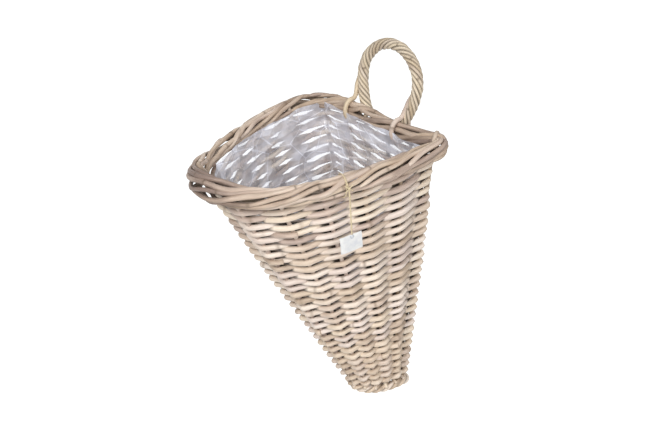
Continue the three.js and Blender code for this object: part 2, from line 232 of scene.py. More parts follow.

# %% Mix the four rattans
# Each takes its pale, middle, dark and node ring colours, its roughness and the strength of its
# painted shade.
weaver_rattan = rattan(
    "weaver_rattan_greyed", "#efe0cc", "#d6c2ab", "#a6907a", "#8d7866", 0.55, 1.0)
# The stakes are drawn darker than the weavers, as painted shade behind the slits.
stake_rattan = rattan(
    "stake_rattan_greyed", "#c9b8a2", "#9c8973", "#6b5a48", "#5f4e3f", 0.65, 0.6)
border_rattan = rattan(
    "border_rattan_weathered", "#dccab4", "#b39d87", "#746151", "#5f4e3f", 0.55, 0.4)
ring_rattan = rattan(
    "ring_rattan_olive", "#ecdbbf", "#c8b497", "#87745e", "#705e4b", 0.5, 0.9)
print([material.name for material in (weaver_rattan, stake_rattan, border_rattan, ring_rattan)])

# %% [markdown]
# ## Rods as tubes
# A rod is a tube swept along a path. The section's two axes come from the rod's direction
# and one direction that the rod never runs along, which is steadier than a curve's own
# twist. A real rod isn't quite round or even, so three slow waves swell and flatten it, and
# a node swells it a little every 90 to 230 mm. Many rods go into one mesh, with the
# straightened rod space and each rod's cast as attributes on its points.

# %% Work out how a rod varies along its length
chance = np.random.default_rng(7)
NODE_SPACING = (90, 230)
NODE_LENGTH = 1.5
NODE_SWELL = 0.13
FIRST_NODE = 20
NODE_END_GAP = 10
WAVE_LENGTHS = (40, 90)
UP = np.array([0.0, 0.0, 1.0])


def unit(v):
    return v / np.linalg.norm(v, axis=-1, keepdims=True)


def run_length(path):
    """How far along a path each of its points is."""
    return np.concatenate([[0], np.cumsum(np.linalg.norm(np.diff(path, axis=0), axis=1))])


def nodes_along(s):
    """The nodes of one rod, as a bump of 1 at each."""
    knot = np.zeros(len(s))
    at = chance.uniform(FIRST_NODE, NODE_SPACING[1])
    while at < s[-1] - NODE_END_GAP:
        knot = np.maximum(knot, np.exp(-((s - at) / NODE_LENGTH) ** 2))
        at += chance.uniform(*NODE_SPACING)
    return knot


def uneven_section(s, angle, uneven):
    """How much the rod is out of round and swells, at each ring and side."""
    phase = chance.uniform(0, 2 * math.pi, 3)
    wave = chance.uniform(*WAVE_LENGTHS, 3)
    oval = (1 + uneven * np.sin(2 * angle[None] + phase[0] + s[:, None] / wave[0])
            + uneven * np.sin(angle[None] + phase[1] + s[:, None] / wave[1]))
    return oval * (1 + 0.6 * uneven * np.sin(s[:, None] / wave[2] * 3 + phase[2]))


print("a rod has a node every", NODE_SPACING, "mm")

# %% [markdown]
# ## Painted shade between the rods
# Where a rod passes behind another little light gets in, so it is painted nearly black as
# shade. Each point carries how far in it lies, from 0 to 1. In the weave a point lies far in
# where its rod has gone behind the line of the stakes and it is on the side turned to them.
# In a rope of rods it lies far in on the side of each rod that is turned to the rope's middle.

# %% Work out how much painted shade each point gets
UNDER_REACH = -0.4
OVER_REACH = 1.8
DEPTH_BLEND = 1.2
FACING_LOW = -0.28
FACING_BLEND = 0.45


def painted_shade_in_weave(wall, path, across):
    """How much painted shade each point of a rod in the weave gets."""
    core, face, under = wall
    aside = ((path - core) * face).sum(1)
    facing = (unit(across) * face[:, None]).sum(-1) * np.sign(aside)[:, None]
    weight = np.clip((-aside - np.where(under, UNDER_REACH, OVER_REACH)) / DEPTH_BLEND, 0, 1)
    return weight[:, None] * (1 - np.clip((facing - FACING_LOW) / FACING_BLEND, 0, 1))


def painted_shade_in_rope(bound, angle):
    """How much painted shade each side of a strand in a rope gets. Angle 0 is away from the middle.
    """
    low, high = bound
    return 1 - np.clip((np.cos(angle)[None] - low) / (high - low), 0, 1)


print("shade_paint starts", OVER_REACH, "mm behind the stakes, and sooner on the lower rod")

# %% Sweep one rod
CUT_CHAMFER = 0.8
CUT_TAPER = 0.75
CUT_DARKNESS = 0.55
PATTERN_SPAN = 4000
PATTERN_DRIFT = 7
HUE_BIAS = 1.5


def sweep(path, radius, away, sides=8, uneven=0.05, tone=None, hue=None, nodes=True,
          wall=None, bound=None, paler=0.0):
    """One rod: its rings of points, its rod space, its cast and the painted shade of each point."""
    path = np.asarray(path, float)
    radius = np.broadcast_to(np.asarray(radius, float), len(path)).copy()
    along = unit(np.gradient(path, axis=0))
    away = np.broadcast_to(np.asarray(away, float), path.shape)
    u = unit(away - along * (away * along).sum(1, keepdims=True))
    v = np.cross(along, u)
    s = run_length(path)
    knot = nodes_along(s) if nodes else np.zeros(len(path))
    radius = radius * (1 + NODE_SWELL * knot)
    angle = 2 * math.pi * np.arange(sides) / sides
    reach = radius[:, None] * uneven_section(s, angle, uneven)
    across = reach[..., None] * (np.cos(angle)[None, :, None] * u[:, None]
                                 + np.sin(angle)[None, :, None] * v[:, None])
    # A cut end is drawn in a little, on one more ring.
    chamfer = min(CUT_CHAMFER, radius[0] / 3)
    first = path[0] - along[0] * chamfer + across[0] * CUT_TAPER
    last = path[-1] + along[-1] * chamfer + across[-1] * CUT_TAPER
    points = np.concatenate([first[None], path[:, None] + across, last[None]])
    start = chance.uniform(0, PATTERN_SPAN)
    run = np.concatenate([[s[0] - chamfer], s, [s[-1] + chamfer]]) + start
    reach = np.concatenate([reach[:1] * CUT_TAPER, reach, reach[-1:] * CUT_TAPER])
    space = np.stack([
        np.broadcast_to(run[:, None], reach.shape),
        reach * np.cos(angle)[None],
        reach * np.sin(angle)[None] + start / PATTERN_DRIFT,
    ], -1)
    cast = np.empty(reach.shape + (3,))
    tone = chance.uniform(0, 1) + paler if tone is None else tone
    cast[..., 0] = np.pad(np.broadcast_to(tone, len(path)), 1, "edge")[:, None]
    cast[..., 1] = chance.uniform(0, 1) ** HUE_BIAS if hue is None else hue
    cast[..., 2] = np.concatenate([[CUT_DARKNESS], knot, [CUT_DARKNESS]])[:, None]
    painted_shade = np.zeros(reach.shape)
    if wall:
        painted_shade[1:-1] = painted_shade_in_weave(wall, path, across)
    elif bound:
        painted_shade[:] = painted_shade_in_rope(bound, angle)
    return points, space, cast, painted_shade


print("cut ends are drawn in by", CUT_CHAMFER, "mm")

# %% Gather rods into one mesh
def piece(name, points, faces, material, smooth=True):
    """An object from points in the frame's metres and the faces between them."""
    mesh = bpy.data.meshes.new(name)
    mesh.from_pydata([tuple(point) for point in points], [], faces)
    mesh.polygons.foreach_set("use_smooth", np.full(len(mesh.polygons), smooth))
    mesh.materials.append(material)
    made = bpy.data.objects.new(name, mesh)
    bpy.context.collection.objects.link(made)
    return made


def rod_mesh(name, rods, material):
    """An object from several swept rods, in the frame's metres."""
    points, space, cast, painted_shade, faces = [], [], [], [], []
    count = 0
    for rings, rod_space, rod_cast, rod_painted_shade in rods:
        n, sides = rings.shape[:2]
        grid = count + np.arange(n * sides).reshape(n, sides)
        near, far = grid[:-1], grid[1:]
        quads = np.stack([near, np.roll(near, -1, 1), np.roll(far, -1, 1), far], -1)
        faces.extend(quads.reshape(-1, 4).tolist())
        faces.append(grid[0][::-1].tolist())
        faces.append(grid[-1].tolist())
        points.append(rings.reshape(-1, 3))
        space.append(rod_space.reshape(-1, 3))
        cast.append(rod_cast.reshape(-1, 3))
        painted_shade.append(rod_painted_shade.ravel())
        count += n * sides
    made = piece(name, row(np.concatenate(points)).tolist(), faces, material)
    for key, values in (("rod", space), ("cast", cast)):
        layer = made.data.attributes.new(key, "FLOAT_VECTOR", "POINT")
        layer.data.foreach_set("vector", np.concatenate(values).ravel().astype(np.float32))
    # The last attribute holds the painted shade of each point.
    layer = made.data.attributes.new("painted_shade", "FLOAT", "POINT")
    layer.data.foreach_set("value", np.concatenate(painted_shade).astype(np.float32))
    return made


# %% [markdown]
# ## The wall
# At every height the wall is half an ellipse in front and a straight back, joined by
# round corners. A place on it is given by a stake number, which may be a fraction, and a
# height. Stakes 0 to 11 share the front evenly, from the right corner to the left one,
# and 11 to 16 share the back.

# %% Draw the outline at a height
MOUTH_CORNER = 24
BASE_CORNER = 14
LEAST_CORNER = 3
STAKE_COUNT = 16
FRONT_GAPS = 11
BACK_GAPS = STAKE_COUNT - FRONT_GAPS
STAKE_INSET = 11.2
CORNER_CUTS = 7
FRONT_CUTS = 97


def mix(a, b, t):
    return a + (b - a) * t


def outline(z, inset):
    """The front and the back run at a height, each with points, normals and lengths."""
    t = z / BODY_HEIGHT
    r = max(mix(BASE_CORNER, MOUTH_CORNER, t) - inset, LEAST_CORNER)
    a = mix(BASE_WIDTH, MOUTH_WIDTH, t) / 2 - inset - r
    b = mix(BASE_DEPTH, MOUTH_DEPTH, t) - 2 * inset - 2 * r
    y0 = -inset - r
    s = np.linspace(0, math.pi, FRONT_CUTS)[1:-1]
    eighth = math.pi / 4
    corners = [np.linspace(i * eighth, j * eighth, CORNER_CUTS)
               for i, j in ((1, 0), (-4, -5), (3, 2), (2, 1))]
    nose = np.arctan2(-a * np.sin(s), b * np.cos(s))
    runs = []
    for parts in (((a, y0, corners[0]), (a * np.cos(s), y0 - b * np.sin(s), nose),
                   (-a, y0, corners[1])),
                  ((-a, y0, corners[2]), (a, y0, corners[3]))):
        x = np.concatenate([cx + r * np.cos(angle) for cx, cy, angle in parts])
        y = np.concatenate([cy + r * np.sin(angle) for cx, cy, angle in parts])
        angle = np.concatenate([angle for cx, cy, angle in parts])
        length = np.concatenate([[0], np.cumsum(np.hypot(np.diff(x), np.diff(y)))])
        runs.append((x, y, np.cos(angle), np.sin(angle), length))
    return runs


print("the mouth is", round(sum(run[4][-1] for run in outline(BODY_HEIGHT, 0))), "mm round")

# %% Find places on the wall by stake number
def at_stakes(z, inset, stakes):
    """Rows of x, y and the normal's x, y at stake numbers, all at one height."""
    found = np.empty((len(stakes), 4))
    v = np.where(stakes == STAKE_COUNT, STAKE_COUNT, stakes % STAKE_COUNT)
    for run, shares, here in zip(
            outline(z, inset),
            (v / FRONT_GAPS, (v - FRONT_GAPS) / BACK_GAPS),
            (v <= FRONT_GAPS, v > FRONT_GAPS)):
        for k in range(4):
            found[here, k] = np.interp(shares[here] * run[4][-1], run[4], run[k])
    found[:, 2:] = unit(found[:, 2:])
    return found


LEVEL_COUNT = 43
LEVELS = np.linspace(0, BODY_HEIGHT, LEVEL_COUNT)
STATION_STEPS = 16
STATIONS = np.arange(STAKE_COUNT * STATION_STEPS + 1) / STATION_STEPS
WALL = np.stack([at_stakes(z, STAKE_INSET, STATIONS) for z in LEVELS])


def on_wall(stakes, z):
    """Points on the line of the stakes and outward normals, for arrays of places."""
    i = np.clip(z / LEVELS[1], 0, len(LEVELS) - 1.001)
    j = (stakes % STAKE_COUNT) * STATION_STEPS
    i0, j0 = i.astype(int), j.astype(int)
    di, dj = (i - i0)[:, None], (j - j0)[:, None]
    found = (WALL[i0, j0] * (1 - di) * (1 - dj) + WALL[i0 + 1, j0] * di * (1 - dj)
             + WALL[i0, j0 + 1] * (1 - di) * dj + WALL[i0 + 1, j0 + 1] * di * dj)
    flat = np.zeros(len(z))
    points = np.stack([found[:, 0], found[:, 1], z], 1)
    normals = unit(np.stack([found[:, 2], found[:, 3], flat], 1))
    return points, normals


print("wall table", WALL.shape)

# %% [markdown]
# ## Stakes
# The stakes are the stiff uprights that the weave holds to. They show between the rods
# inside, through the film, and as dark bars behind the slits. Their colour is drawn darker
# than the weavers', as painted shade in the slits.

# %% Sweep the stakes
WEAVE_TOP = 421
STAKE_TOP_RADIUS = 3.0
STAKE_FOOT_RADIUS = 2.6
STAKE_FOOT = 3
STAKE_TUCK = 4
STAKE_CUTS = 24

for k in range(STAKE_COUNT):
    z = np.linspace(STAKE_FOOT, WEAVE_TOP + STAKE_TUCK, STAKE_CUTS)
    path, normal = on_wall(np.full(STAKE_CUTS, float(k)), z)
    radius = mix(STAKE_FOOT_RADIUS, STAKE_TOP_RADIUS, z / BODY_HEIGHT)
    stake = rod_mesh(f"stake_rod_{k + 1:02d}", [sweep(path, radius, normal)], stake_rattan)
    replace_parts(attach(stake, "basket"), f"stake_{k + 1:02d}")
print(STAKE_COUNT, "stakes")

# %% [markdown]
# ## The weave
# Pairing is worked with two rods at once. Each rod passes outside one stake and inside
# the next, and the two cross between the stakes, the one going in over the one coming
# out. A rod is stiff, so it runs nearly straight from stake to stake and kinks there. The
# pair climbs one row each time round. Rods are only so long, mostly 0.7 to 1.9 m here, so the
# pair is spliced from many, of different thickness and cast.

# %% Work out where the rods of the pair bend
COURSES = 29
WEAVE_FOOT = 8
PITCH = (WEAVE_TOP - WEAVE_FOOT) / (COURSES + 0.5)
ROD_TOP = 8.1
ROD_FOOT = 7.7
OUTER_SWELL = 0.04
BACK_SHARE = 0.74
BEND_SHARE = 0.86
ROW_WANDER = 0.7
BEND_WANDER = 0.3


def bends(side):
    """Where one rod of the pair bends at each stake, and how thick it is there."""
    stops = np.arange(STAKE_COUNT * COURSES + 2, dtype=float)
    z = WEAVE_TOP - PITCH / 2 - stops / STAKE_COUNT * PITCH
    z += chance.normal(0, ROW_WANDER, len(z))
    thick = mix(ROD_FOOT, ROD_TOP, z / WEAVE_TOP)
    point, normal = on_wall(stops, np.clip(z, 0, BODY_HEIGHT))
    outside = (stops.astype(int) + side) % 2 == 0
    stake = mix(STAKE_FOOT_RADIUS, STAKE_TOP_RADIUS, z / BODY_HEIGHT)
    thick = thick * np.where(outside, 1 + OUTER_SWELL, 1 - OUTER_SWELL)
    thick = thick * np.where(stops % STAKE_COUNT > FRONT_GAPS, BACK_SHARE, 1)
    keep = stake + BEND_SHARE * thick / 2 + chance.normal(0, BEND_WANDER, len(z))
    return point, normal, point + normal * np.where(outside, keep, -keep)[:, None], thick


print(COURSES, "courses,", round(PITCH, 1), "mm apart")

# %% Draw each rod's path from stake to stake
GAP_STEPS = 12
CROSS_SHARE = 0.26
LIGHT_EASE, HEAVY_EASE = 1, 4
EASE_FROM = 250
EASE_SPAN = 110
EASE_FLATTER = 0.15
EASE_ROUNDER = 0.75


def smooth(path, reach):
    """A moving average that leaves the ends alone."""
    padded = np.concatenate([path[:1].repeat(reach, 0), path, path[-1:].repeat(reach, 0)])
    return sum(padded[k:k + len(path)] for k in range(2 * reach + 1)) / (2 * reach + 1)


def pair_path(side):
    """The whole spiral of one rod, from the border down, and its thickness."""
    point, normal, bent, thick = bends(side)
    last = STAKE_COUNT * COURSES
    fine = np.arange(last * GAP_STEPS + 1) / GAP_STEPS
    i = np.minimum(fine.astype(int), last)
    t = (fine - i)[:, None]
    path = bent[i] * (1 - t) + bent[i + 1] * t
    core = point[i] * (1 - t) + point[i + 1] * t
    face = unit(normal[i] * (1 - t) + normal[i + 1] * t)
    round_here = thick[i] * (1 - t[:, 0]) + thick[i + 1] * t[:, 0]
    # Higher up the stakes stand further apart, so the rods cross flatter and bend rounder.
    ease = np.clip((path[:, 2] - EASE_FROM) / EASE_SPAN, 0, 1)
    cross = CROSS_SHARE * round_here * (1 - EASE_FLATTER * ease)
    dip = np.sin(math.pi * (fine + side))
    path[:, 2] -= cross * dip
    light, heavy = smooth(path, LIGHT_EASE), smooth(path, HEAVY_EASE)
    path = light * (1 - EASE_ROUNDER * ease[:, None]) + heavy * EASE_ROUNDER * ease[:, None]
    return path, round_here, core, face, dip > 0


print("the rods are drawn in", GAP_STEPS, "steps from stake to stake")

# %% Cut the pair into rods and lay them
LAP_STEPS = 5
STUB_OUT = 2.4
ROD_RUN = (700, 1900)
ROD_GRADES = (0.84, 1.1)
ROD_BUTT, ROD_TIP = 1.05, 0.93
BANDS = 6
# The rods are drawn lighter band by band toward the foot, as painted light.
PALER_TOP = -0.02
PALER_FALL = 0.28

for side, letter in enumerate("ab"):
    path, thick, core, out, under = pair_path(side)
    s = run_length(path)
    edges = [round(STAKE_COUNT * COURSES * GAP_STEPS * k / BANDS) for k in range(BANDS + 1)]
    for band in range(BANDS):
        rods = []
        start, end = edges[band], edges[band + 1]
        while start < end:
            stop = int(np.searchsorted(s, s[start] + chance.uniform(*ROD_RUN)))
            stop = end if end - stop < 8 * GAP_STEPS else stop
            cut = slice(max(start - LAP_STEPS, 0), min(stop + LAP_STEPS, len(path)))
            grade = chance.uniform(*ROD_GRADES)
            taper = np.linspace(ROD_BUTT, ROD_TIP, len(path[cut]))
            step = np.arange(len(path[cut]))
            lead = np.clip(1 - step / (2 * LAP_STEPS), 0, 1)
            trail = np.clip(1 - step[::-1] / (2 * LAP_STEPS), 0, 1)
            rod = path[cut] + out[cut] * (STUB_OUT * (lead - trail))[:, None]
            # Each band's rods get the painted light of their height.
            rods.append(sweep(rod, thick[cut] / 2 * grade * taper, UP, uneven=0.035,
                              wall=(core[cut], out[cut], under[cut]),
                              paler=PALER_TOP + PALER_FALL * band / BANDS))
            start = stop
        weave = rod_mesh(f"weave_{letter}_{band + 1}", rods, weaver_rattan)
        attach(weave, "basket")
        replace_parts(weave, f"weaver_{letter}_{band + 1}")
        print(weave.name, len(rods), "rods")

# %% [markdown]
# ## The foot
# The foot is a small woven board: five sticks run from the wall to the front and thin
# rods are woven across them. A rope of three rods goes round its edge and closes the first
# row, and the cut ends of the stakes stick out a little above it.

# %% Lay the edge of the foot and the stake ends
FOOT_EDGE_RADIUS = 3.3
FOOT_EDGE_LAY = 3.1
FOOT_EDGE_DROP = 2.6
FOOT_EDGE_TURNS = 7
FOOT_EDGE_INSET = 6
FOOT_EDGE_RODS = 3
FOOT_EDGE_STEPS = 140
# Bounds of the painted shade on the side of each rod turned to the rope's middle.
FOOT_EDGE_SHADE = (-0.5, 0.3)
STUB_HEIGHT = 10.5
STUB_BACK = 7
STUB_REACH = (6, 9.5)
STUB_DROOP = (0.1, 0.6)
STUB_RADIUS = (2.2, 3)
STUB_SHIFT = 0.25


def around(z, inset, count):
    """Points and normals all round at even steps, at one height."""
    front, back = outline(z, inset)
    length = front[4][-1] + back[4][-1]
    s = np.arange(count) / count * length
    joined = [np.concatenate([front[k], back[k][1:]]) for k in range(4)]
    run = np.concatenate([front[4], front[4][-1] + back[4][1:]])
    x, y, nx, ny = (np.interp(s, run, values) for values in joined)
    points = np.stack([x, y, np.full(count, float(z))], 1)
    return points, unit(np.stack([nx, ny, np.zeros(count)], 1)), length


foot_rods = []
edge, edge_out = around(0, FOOT_EDGE_INSET, FOOT_EDGE_STEPS)[:2]
edge[:, 2] = FOOT_EDGE_RADIUS + FOOT_EDGE_LAY - FOOT_EDGE_DROP
for k in range(FOOT_EDGE_RODS):
    turns = FOOT_EDGE_TURNS * np.arange(FOOT_EDGE_STEPS) / FOOT_EDGE_STEPS
    turn = 2 * math.pi * (k / FOOT_EDGE_RODS - turns)
    out = edge_out * np.cos(turn)[:, None] + UP * np.sin(turn)[:, None]
    strand = edge + out * FOOT_EDGE_LAY
    closed = np.concatenate([strand, strand[:2]])
    closed_out = np.concatenate([out, out[:2]])
    foot_rods.append(sweep(closed, FOOT_EDGE_RADIUS, closed_out, bound=FOOT_EDGE_SHADE))
for k in range(STAKE_COUNT):
    centre, outward = on_wall(np.array([k + STUB_SHIFT]), np.array([STUB_HEIGHT]))
    reach = np.linspace(-STUB_BACK, chance.uniform(*STUB_REACH), 6)[:, None]
    stub = centre + outward * reach - UP * reach * chance.uniform(*STUB_DROOP)
    foot_rods.append(sweep(stub, chance.uniform(*STUB_RADIUS), UP, nodes=False))
print("foot edge of", FOOT_EDGE_RODS, "rods,", STAKE_COUNT, "stake ends")

# %% Weave the board of the foot
FOOT_MIDDLE = 4.4
FOOT_STICKS = 5
STICK_RADIUS = 1.7
STICK_SPREAD = 0.62
STICK_STEPS = 24
FOOT_ROD_RADIUS = 1.5
FOOT_ROD_PITCH = 3.6
FOOT_ROD_STEPS = 60

inner = edge - edge_out * FOOT_EDGE_RADIUS
stick_x = np.linspace(-STICK_SPREAD, STICK_SPREAD, FOOT_STICKS) * (BASE_WIDTH / 2 - FOOT_EDGE_INSET)
for x in stick_x:
    near = inner[np.abs(inner[:, 0] - x) < 3]
    y = np.linspace(near[:, 1].min(), near[:, 1].max(), STICK_STEPS)
    path = np.stack([np.full(STICK_STEPS, x), y, np.full(STICK_STEPS, FOOT_MIDDLE)], 1)
    foot_rods.append(sweep(path, STICK_RADIUS, UP))
rod_y = np.arange(inner[:, 1].min() + 4, inner[:, 1].max() - 1, FOOT_ROD_PITCH)
for k, y in enumerate(rod_y):
    near = inner[np.abs(inner[:, 1] - y) < 4]
    x = np.linspace(near[:, 0].min(), near[:, 0].max(), FOOT_ROD_STEPS)
    gap = stick_x[1] - stick_x[0]
    lift = (STICK_RADIUS + FOOT_ROD_RADIUS) * np.cos(math.pi * ((x - stick_x[0]) / gap + k))
    path = np.stack([x, np.full(FOOT_ROD_STEPS, y), FOOT_MIDDLE + lift], 1)
    foot_rods.append(sweep(path, FOOT_ROD_RADIUS, (0, 1, 0), sides=6))
foot = rod_mesh("foot", foot_rods, weaver_rattan)
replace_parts(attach(foot, "basket"), "base")
print("foot:", len(rod_y), "rods over", FOOT_STICKS, "sticks")

# %% [markdown]
# ## The border
# The ends of the stakes are bent down and laid round the mouth with extra rods, so that
# the edge looks like a thick loose rope. Nine strands run in long slants over the outside,
# go over the top and dive inside. They could be one even rope, but the real ones wander
# and swell. That opens small holes, most of all at the nose of the front, which also
# stands a little higher. The left flank and the back are drawn tighter.

# %% Work out the rim that the border follows
BORDER_INSET = 10
BORDER_MIDDLE = 423
BORDER_STEPS = 420
CORNER_EASE = 22
CORNER_FLARE = 7
CORNER_LIFT = 5
CORNER_WIDTH = 0.03
NOSE_LIFT = 11
NOSE_WIDTH = 0.06
BEND_WIDTH = 0.07
TIGHT_BLEND = 0.05
TIGHT_END = 0.97
NORMAL_EASE = 9
FLARE_WAY = np.array([0.85, 0.5, 0.0])

rim, rim_out, rim_length = around(BODY_HEIGHT, BORDER_INSET, BORDER_STEPS)
share = np.arange(BORDER_STEPS) / BORDER_STEPS
front_length = outline(BODY_HEIGHT, BORDER_INSET)[0][4][-1]
nose_share = front_length / 2 / rim_length
nose = np.exp(-((share - nose_share) / NOSE_WIDTH) ** 2)
corner = np.exp(-(np.minimum(share, 1 - share) / CORNER_WIDTH) ** 2)
bend = np.exp(-((share - front_length / rim_length) / BEND_WIDTH) ** 2)[:, None]
tight = (np.clip((share - nose_share - NOSE_WIDTH) / TIGHT_BLEND, 0, 1)
         * np.clip((TIGHT_END - share) / TIGHT_BLEND, 0, 1))
shifts = range(-CORNER_EASE, CORNER_EASE + 1)
eased = sum(np.roll(rim, k, 0) for k in shifts) / len(shifts)
rim = rim * (1 - bend) + eased * bend
rim = rim + corner[:, None] * CORNER_FLARE * FLARE_WAY
shifts = range(-NORMAL_EASE, NORMAL_EASE + 1)
rim_out = unit(rim_out + sum(np.roll(rim_out, k, 0) for k in shifts) / (NORMAL_EASE + 1))


def slow(count, amount, waves):
    """A smooth closed wander round the rim."""
    at = np.arange(count) / count * 2 * math.pi
    total = np.zeros(count)
    for wave in waves:
        total += np.sin(wave * at + chance.uniform(0, 2 * math.pi)) * chance.uniform(0.5, 1)
    return amount * total / len(waves)


print("rim", round(rim_length), "mm long, its nose at", round(nose_share, 3))

# %% Lay the strands of the border
BORDER_STRANDS = 9
BORDER_OUT = 8.8
BORDER_UP = 11.0
BORDER_TURNS = 2.7
BORDER_RADIUS = 3.4
BORDER_GROUPS = 4
BORDER_HUES = (0, 0.6)
# Bounds of the painted shade on the side of each strand turned to the rope's middle.
BORDER_SHADE = (-0.8, 0.0)
TURN_WANDER, TURN_WAVES = 0.6, (3, 5, 9, 14)
TIGHT_WANDER, TIGHT_WAVES = 1.3, (2, 4, 6)
SWELL_WANDER, SWELL_WAVES = 0.2, (4, 9, 15)
NOSE_SWELL = 0.4
TIGHT_SWELL = 0.22
BORDER_RUN = (90, 190)
LEAST_RUN = 60
BORDER_TONES = (0.25, 0.95)
DARKENED_DEPTH = 160
DARKENED_NOSE = 2.0
DARKENED_SHARE = 0.5
END_TAPER = 0.55
END_STEPS = 5
OVERLAP = 4

# The strands toward the wall and at the nose are drawn darker.
darkened = np.maximum(np.clip(1 + rim[:, 1] / DARKENED_DEPTH, 0, 1), DARKENED_NOSE * nose)
border_groups = [[] for _ in range(BORDER_GROUPS)]
for strand in range(BORDER_STRANDS):
    turn = 2 * math.pi * (strand / BORDER_STRANDS - BORDER_TURNS * share)
    turn = turn + slow(BORDER_STEPS, TURN_WANDER, TURN_WAVES)
    turn = turn + slow(BORDER_STEPS, TIGHT_WANDER, TIGHT_WAVES) * tight
    swell = (1 + slow(BORDER_STEPS, SWELL_WANDER, SWELL_WAVES)
             + NOSE_SWELL * nose - TIGHT_SWELL * tight)
    path = rim + rim_out * (BORDER_OUT * swell * np.cos(turn))[:, None]
    path[:, 2] = BORDER_MIDDLE + NOSE_LIFT * nose + CORNER_LIFT * corner
    path[:, 2] += BORDER_UP * swell * np.sin(turn)
    away = rim_out * np.cos(turn)[:, None] + UP * np.sin(turn)[:, None]
    start = int(chance.integers(0, BORDER_STEPS))
    done = 0
    while done < BORDER_STEPS:
        left = BORDER_STEPS - done
        run = min(int(chance.integers(*BORDER_RUN)), left)
        run = left if left - run < LEAST_RUN else run
        pick = (start + done + np.arange(run + OVERLAP)) % BORDER_STEPS
        tone = chance.uniform(*BORDER_TONES) - DARKENED_SHARE * darkened[pick]
        grade = chance.uniform(*ROD_GRADES)
        step = np.arange(run + OVERLAP)
        ends = mix(END_TAPER, 1, np.clip(np.minimum(step, step[::-1]) / END_STEPS, 0, 1))
        rod = sweep(path[pick], BORDER_RADIUS * grade * ends, away[pick], tone=tone,
                    hue=chance.uniform(*BORDER_HUES), bound=BORDER_SHADE)
        border_groups[strand % BORDER_GROUPS].append(rod)
        done += run
print(BORDER_STRANDS, "strands of", sum(len(rods) for rods in border_groups), "rods")

# %% Tuck one rod over the corner and finish the border
TUCK_SHARE = 0.99
TUCK_LEAN = 12
TUCK_OUT = 10.5
TUCK_UP = 12.5
TUCK_FROM, TUCK_TO = 215, -25
TUCK_DIVE = 0.4
TUCK_STEPS = 40

k = int(TUCK_SHARE * BORDER_STEPS)
angle = np.linspace(math.radians(TUCK_FROM), math.radians(TUCK_TO), TUCK_STEPS)
dive = 1 - TUCK_DIVE * np.abs(np.linspace(-1, 1, TUCK_STEPS)) ** 3
away = rim_out[k] * np.cos(angle)[:, None] + UP * np.sin(angle)[:, None]
path = rim[k] + rim_out[k] * (TUCK_OUT * dive * np.cos(angle))[:, None]
path[:, 2] = (BORDER_MIDDLE + CORNER_LIFT * corner[k] + NOSE_LIFT * nose[k]
              + TUCK_UP * dive * np.sin(angle))
path = path + np.cross(UP, rim_out[k]) * (TUCK_LEAN * np.cos(angle))[:, None]
border_groups[1].append(sweep(path, BORDER_RADIUS, away, tone=0.5, hue=0.2))
for k, rods in enumerate(border_groups):
    border = rod_mesh(f"border_{k + 1}", rods, border_rattan)
    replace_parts(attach(border, "basket"), f"border_strand_{k + 1}")
print("border of", sum(len(rods) for rods in border_groups), "rods")

# %% [markdown]
# ## The hanging ring
# The ring is a rod rope: seven thin rods laid up round a core, bent to an arch, with its
# feet tucked into the border. The basket's whole weight hangs on its top.

# %% Work out the arch of the ring
RING_HALF_WIDTH = 54
RING_RISE = 47.8
RING_LEG = 38.4
RING_LEG_DRAW = 10
RING_FOOT_Y = 6
RING_FOOT_Z = 438.5
RING_LEAN = 0.247
RING_TUCK = 16
RING_STEPS = 260
LEG_STEPS = 30
ARCH_STEPS = 80

lean_up = np.array([0, RING_LEAN, math.sqrt(1 - RING_LEAN ** 2)])
lean_out = np.array([0, lean_up[2], -lean_up[1]])
leg = np.linspace(-RING_TUCK, RING_LEG, LEG_STEPS)
drawn = RING_HALF_WIDTH - RING_LEG_DRAW * (1 - leg / RING_LEG) ** 2
arch = np.linspace(0, math.pi, ARCH_STEPS)[1:-1]
flat_x = np.concatenate([drawn, RING_HALF_WIDTH * np.cos(arch), -drawn[::-1]])
flat_s = np.concatenate([leg, RING_LEG + RING_RISE * np.sin(arch), leg[::-1]])
rough_path = (np.array([0, RING_FOOT_Y, RING_FOOT_Z]) + flat_s[:, None] * lean_up
              + flat_x[:, None] * np.array([1.0, 0, 0]))
run = run_length(rough_path)
even = np.linspace(0, run[-1], RING_STEPS)
ring_path = np.stack([np.interp(even, run, rough_path[:, k]) for k in range(3)], 1)
ring_along = unit(np.gradient(ring_path, axis=0))
ring_side = unit(np.cross(ring_along, lean_out))
print("ring rope", round(run[-1]), "mm long")

# %% Lay up the ring
RING_STRANDS = 7
RING_STRAND_RADIUS = 2.75
RING_CORE_RADIUS = 3.0
RING_LAY_RADIUS = 5.3
RING_LAY_LENGTH = 62
RING_SLIP = 0.012
RING_GRADES = (0.92, 1.06)
RING_TONES = (0.45, 0.95)
RING_HUES = (0, 0.5)
# Bounds of the painted shade on the side of each rod turned to the ring's core.
RING_SHADE = (0.5, 0.85)


def ring_rod(phase, lay_radius, radius):
    turn = 2 * math.pi * phase - 2 * math.pi * even / RING_LAY_LENGTH
    out = lean_out * np.cos(turn)[:, None] + ring_side * np.sin(turn)[:, None]
    return sweep(ring_path + out * lay_radius, radius, out, tone=chance.uniform(*RING_TONES),
                 hue=chance.uniform(*RING_HUES), bound=RING_SHADE)


core = rod_mesh("ring_heart", [ring_rod(0, 0.01, RING_CORE_RADIUS)], ring_rattan)
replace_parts(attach(core, "basket"), "ring_core")
